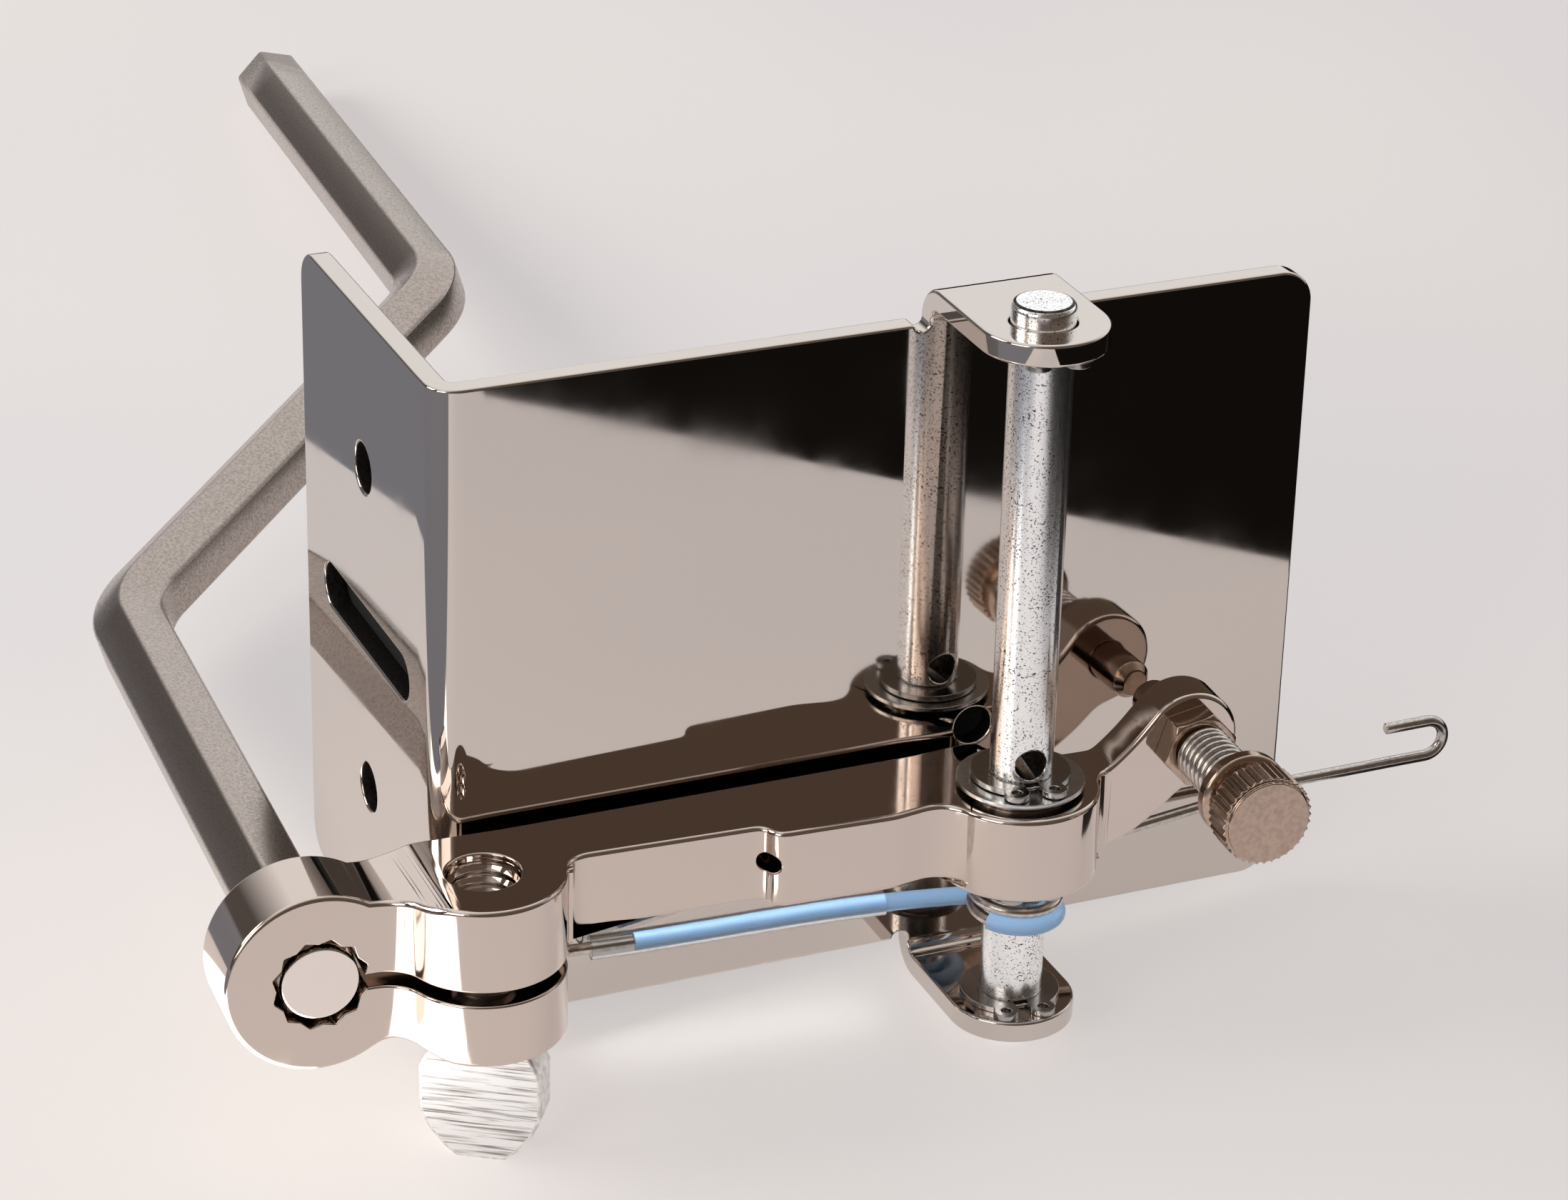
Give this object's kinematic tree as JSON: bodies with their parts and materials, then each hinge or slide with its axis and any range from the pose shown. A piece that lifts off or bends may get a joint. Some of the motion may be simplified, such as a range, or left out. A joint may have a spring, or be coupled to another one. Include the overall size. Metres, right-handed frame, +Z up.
{
  "type": "guitar string bender",
  "caption": "Hip-operated string bender for a guitar: folded bracket, sprung lever on a pivot shaft, cranked hip rod in a clamp, stop screw and string hook.",
  "frame": {"origin": "outside face of the flange, midway between its two screw holes", "axes": "+X along the strings from the flange towards the hook, +Y from the lever side through the face plate to the guitar body side, +Z up along the pivot shaft"},
  "size_m": [0.1376, 0.2289, 0.0827],
  "materials": {
    "nickel_sheet": "polished",
    "cast_lever": "polished casting, nickel plated",
    "ground_shaft": "ground, a little grimy",
    "ring_steel": "dark phosphated spring steel",
    "bushing_steel": "bright turned steel",
    "zinc_washer": "zinc plated",
    "thumb_casting": "rough cast, worn bright on its faces",
    "rod_steel": "satin, finely pitted",
    "nickel_screw": "nickel plated, warm",
    "spring_wire": "bright drawn wire",
    "blue_plastic": "light blue tubing",
    "clear_plastic": "clear tubing"
  },
  "bodies": {
    "bracket": {"mounting_bracket": "nickel_sheet", "pivot_shaft": "ground_shaft", "upper_ear_ring": "ring_steel", "lower_ear_ring": "ring_steel", "lever_top_ring": "ring_steel", "lever_under_ring": "ring_steel", "return_spring": "spring_wire", "blue_sleeve": "blue_plastic", "clear_sleeve": "clear_plastic"},
    "lever": {"hip_lever": "cast_lever", "bushing_upper": "bushing_steel", "bushing_lower": "bushing_steel", "lever_washer": "zinc_washer", "stop_nut": "nickel_screw", "stop_spring": "spring_wire"},
    "clamp_screw": {"clamp_thumb_screw": "thumb_casting"},
    "rod": {"hip_rod": "rod_steel"},
    "stop": {"stop_screw": "nickel_screw"},
    "hook": {"string_hook": "spring_wire"}
  },
  "joints": [
    {"name": "lever_pivot", "type": "hinge", "parent": "bracket", "child": "lever", "pos_m": [0.0573, -0.0326, -0.0165], "axis": [0, 0, 1], "range_deg": [0, 3.5], "stiffness_Nm_per_rad": 0.2, "springref_deg": -22.92},
    {"name": "clamp_screw_turn", "type": "hinge", "parent": "lever", "child": "clamp_screw", "pos_m": [0.00143, -0.03057, -0.02915], "axis": [0, 0, 1], "range_deg": [-360, 0]},
    {"name": "rod_slide", "type": "slide", "parent": "lever", "child": "rod", "axis": [-0.0506, -0.9987, 0], "range_m": [0, 0.02]},
    {"name": "stop_screw_turn", "type": "hinge", "parent": "lever", "child": "stop", "pos_m": [0.07583, -0.03354, -0.00995], "axis": [0.0506, 0.9987, 0], "continuous": true},
    {"name": "hook_pivot", "type": "hinge", "parent": "lever", "child": "hook", "pos_m": [0.05583, -0.02502, -0.01815], "axis": [0, 0, 1], "range_deg": [-3.5, 0]}
  ],
  "couplings": [
    {"joint": "hook_pivot", "follows": "lever_pivot", "ratio": -1}
  ]
}
